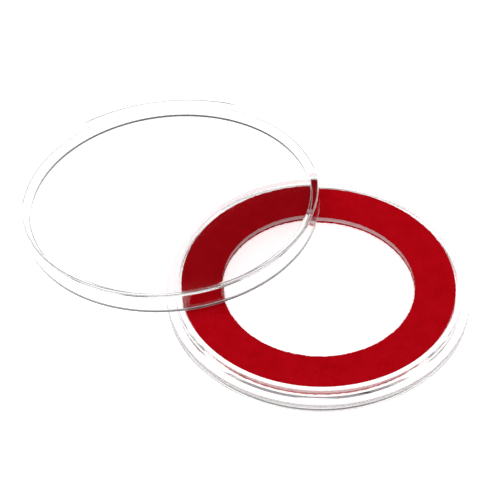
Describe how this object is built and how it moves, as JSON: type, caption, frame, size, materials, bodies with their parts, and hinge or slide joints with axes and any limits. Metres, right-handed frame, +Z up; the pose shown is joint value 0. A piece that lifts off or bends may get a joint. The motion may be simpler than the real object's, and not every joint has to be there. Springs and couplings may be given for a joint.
{
  "type": "coin capsule",
  "caption": "Clear round coin capsule, open, its shallow lid leaning on the flanged base that holds a velour-faced foam ring insert.",
  "frame": {"origin": "centre of the base's flat underside, on the surface that the open capsule stands on", "axes": "+Z up along the base's axis; the lid leans on the base's wall from the -X side, and the whole is symmetric about the XZ plane"},
  "size_m": [0.082, 0.0508, 0.0092],
  "materials": {
    "clear_shell": "clear crystal polystyrene, polished",
    "foam": "white closed-cell foam sheet, cut edge, tinted pink by the velour beside it",
    "velour": "deep red velour with a short matt nap"
  },
  "bodies": {
    "base": {"base_shell": "clear_shell"},
    "ring": {"ring_foam_core": "foam", "ring_velour_top": "velour", "ring_velour_bottom": "velour"},
    "lid": {"lid_shell": "clear_shell"}
  },
  "joints": [
    {"name": "lid_lift", "type": "slide", "parent": "base", "child": "lid", "axis": [0.7177, 0, 0.6963], "range_m": [0, 0.04308]},
    {"name": "ring_turn", "type": "hinge", "parent": "base", "child": "ring", "pos_m": [0, 0, 0.00203], "axis": [0, 0, 1], "continuous": true}
  ]
}
